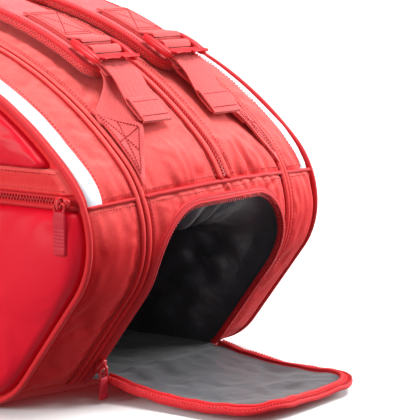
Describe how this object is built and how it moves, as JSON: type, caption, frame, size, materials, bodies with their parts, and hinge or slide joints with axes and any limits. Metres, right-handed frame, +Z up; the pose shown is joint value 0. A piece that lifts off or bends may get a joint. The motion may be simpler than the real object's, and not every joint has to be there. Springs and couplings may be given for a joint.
{
  "type": "racket sports bag",
  "caption": "Oval soft tournament bag for rackets, lying on its flat base, with side racket compartments, front pocket, padded shoulder straps and an end shoe pocket whose flap is folded open",
  "frame": {"origin": "middle of the flat base, on the ground, halfway between the two ends of the body and between front and rear", "axes": "+X along the bag to the end with the shoe pocket, -Y the front with the accessory pocket, +Z up"},
  "size_m": [0.7217, 0.3581, 0.3458],
  "materials": {
    "coral_polyester": "matte heathered polyester weave",
    "gloss_film": "glossy polyurethane film over foam",
    "webbing": "ribbed heathered webbing",
    "zip_tape": "woven zip tape with nylon coil",
    "piping_tape": "smooth woven tape over cord",
    "reflective_tape": "silver-white reflective tape",
    "grey_lining": "satin grey lining cloth",
    "buckle_plastic": "moulded acetal",
    "puller_rubber": "moulded matte rubber",
    "slider_metal": "painted die-cast slider"
  },
  "bodies": {
    "bag": {"anchor_wings": "webbing", "base_panel": "coral_polyester", "end_handle": "webbing", "end_seam_cords": "piping_tape", "far_anchor_webbing": "webbing", "main_zip": "zip_tape", "near_anchor_webbing": "webbing", "plain_end_panel": "coral_polyester", "racket_dividers": "grey_lining", "shoe_end_panel": "coral_polyester", "shoe_opening_zip": "zip_tape", "shoe_tunnel_back_wall": "grey_lining", "shoe_tunnel_floor_board": "grey_lining", "shoe_tunnel_roof": "grey_lining", "shoe_tunnel_side_walls": "grey_lining", "side_zip_body_halves": "zip_tape", "strap_root_patches": "webbing", "top_panel_front": "coral_polyester", "top_panel_rear": "coral_polyester"},
    "front_cover": {"front_backing_panel": "coral_polyester", "front_band_upper": "coral_polyester", "front_band_lower": "coral_polyester", "front_reflective_stripe": "reflective_tape", "front_piping": "piping_tape", "front_side_zip_cover_half": "zip_tape", "front_lower_pad": "gloss_film", "front_upper_pad": "gloss_film", "front_pocket_strip": "coral_polyester", "front_pocket_zip": "zip_tape"},
    "rear_cover": {"rear_backing_panel": "coral_polyester", "rear_band_upper": "coral_polyester", "rear_band_lower": "coral_polyester", "rear_reflective_stripe": "reflective_tape", "rear_piping": "piping_tape", "rear_side_zip_cover_half": "zip_tape", "rear_pad": "coral_polyester"},
    "shoe_flap_body": {"shoe_flap": "coral_polyester", "shoe_flap_lining": "grey_lining", "shoe_flap_zip": "zip_tape"},
    "near_strap": {"near_strap_pad": "coral_polyester", "near_strap_patch": "webbing", "near_buckle": "buckle_plastic", "near_webbing_tail": "webbing"},
    "far_strap": {"far_strap_pad": "coral_polyester", "far_strap_patch": "webbing", "far_buckle": "buckle_plastic", "far_webbing_tail": "webbing"},
    "front_pocket_puller_body": {"front_pocket_puller": "puller_rubber"},
    "front_pocket_slider_body": {"front_pocket_slider": "slider_metal"},
    "front_side_puller_body": {"front_side_puller": "puller_rubber"},
    "front_side_slider_body": {"front_side_slider": "slider_metal"},
    "main_puller_a_body": {"main_puller_a": "puller_rubber"},
    "main_puller_b_body": {"main_puller_b": "puller_rubber"},
    "main_slider_a_body": {"main_slider_a": "slider_metal"},
    "main_slider_b_body": {"main_slider_b": "slider_metal"},
    "rear_side_puller_body": {"rear_side_puller": "puller_rubber"},
    "rear_side_slider_body": {"rear_side_slider": "slider_metal"},
    "shoe_puller_body": {"shoe_puller": "puller_rubber"},
    "shoe_slider_body": {"shoe_slider": "slider_metal"}
  },
  "joints": [
    {"name": "front_cover_hinge", "type": "hinge", "parent": "bag", "child": "front_cover", "pos_m": [0, -0.1601, 0], "axis": [1, 0, 0], "range_deg": [0, 35]},
    {"name": "rear_cover_hinge", "type": "hinge", "parent": "bag", "child": "rear_cover", "pos_m": [0, 0.1601, 0], "axis": [-1, 0, 0], "range_deg": [0, 35]},
    {"name": "shoe_flap_hinge", "type": "hinge", "parent": "bag", "child": "shoe_flap_body", "pos_m": [0.22594, 0, 0.016], "axis": [0, -1, 0], "range_deg": [0, 67]},
    {"name": "near_strap_lift", "type": "hinge", "parent": "bag", "child": "near_strap", "pos_m": [-0.22383, -0.05, 0.26107], "axis": [0, -1, 0], "range_deg": [0, 8]},
    {"name": "far_strap_lift", "type": "hinge", "parent": "bag", "child": "far_strap", "pos_m": [-0.22383, 0.05, 0.26107], "axis": [0, -1, 0], "range_deg": [0, 8]},
    {"name": "main_slider_a_travel", "type": "hinge", "parent": "bag", "child": "main_slider_a_body", "pos_m": [0, 0, -0.047], "axis": [0, 1, 0], "range_deg": [0, 37]},
    {"name": "main_slider_b_travel", "type": "hinge", "parent": "bag", "child": "main_slider_b_body", "pos_m": [0, 0, -0.047], "axis": [0, 1, 0], "range_deg": [-37, 0]},
    {"name": "front_side_slider_travel", "type": "hinge", "parent": "bag", "child": "front_side_slider_body", "pos_m": [0, -0.105, -0.047], "axis": [0, 1, 0], "range_deg": [0, 82]},
    {"name": "rear_side_slider_travel", "type": "hinge", "parent": "bag", "child": "rear_side_slider_body", "pos_m": [0, 0.105, -0.047], "axis": [0, 1, 0], "range_deg": [0, 82]},
    {"name": "front_pocket_slider_travel", "type": "slide", "parent": "front_cover", "child": "front_pocket_slider_body", "axis": [-1, 0, 0], "range_m": [0, 0.52]},
    {"name": "shoe_slider_travel", "type": "slide", "parent": "bag", "child": "shoe_slider_body", "axis": [0.6018, 0, 0.7986], "range_m": [0, 0.062]},
    {"name": "main_puller_a_flip", "type": "hinge", "parent": "main_slider_a_body", "child": "main_puller_a_body", "pos_m": [0.03392, 0, 0.34072], "axis": [0, -1, 0], "range_deg": [0, 160]},
    {"name": "main_puller_b_flip", "type": "hinge", "parent": "main_slider_b_body", "child": "main_puller_b_body", "pos_m": [-0.03392, 0, 0.34072], "axis": [0, 1, 0], "range_deg": [0, 160]},
    {"name": "front_side_puller_flip", "type": "hinge", "parent": "front_side_slider_body", "child": "front_side_puller_body", "pos_m": [-0.24387, -0.105, 0.24364], "axis": [0, -1, 0], "range_deg": [0, 160]},
    {"name": "rear_side_puller_flip", "type": "hinge", "parent": "rear_side_slider_body", "child": "rear_side_puller_body", "pos_m": [-0.24387, 0.105, 0.24364], "axis": [0, -1, 0], "range_deg": [0, 160]},
    {"name": "front_pocket_puller_flip", "type": "hinge", "parent": "front_pocket_slider_body", "child": "front_pocket_puller_body", "pos_m": [0.263, -0.1784, 0.182], "axis": [-1, 0, 0], "range_deg": [0, 150]},
    {"name": "shoe_puller_flip", "type": "hinge", "parent": "shoe_slider_body", "child": "shoe_puller_body", "pos_m": [0.23777, -0.095, 0.02915], "axis": [0, -1, 0], "range_deg": [0, 130]}
  ]
}
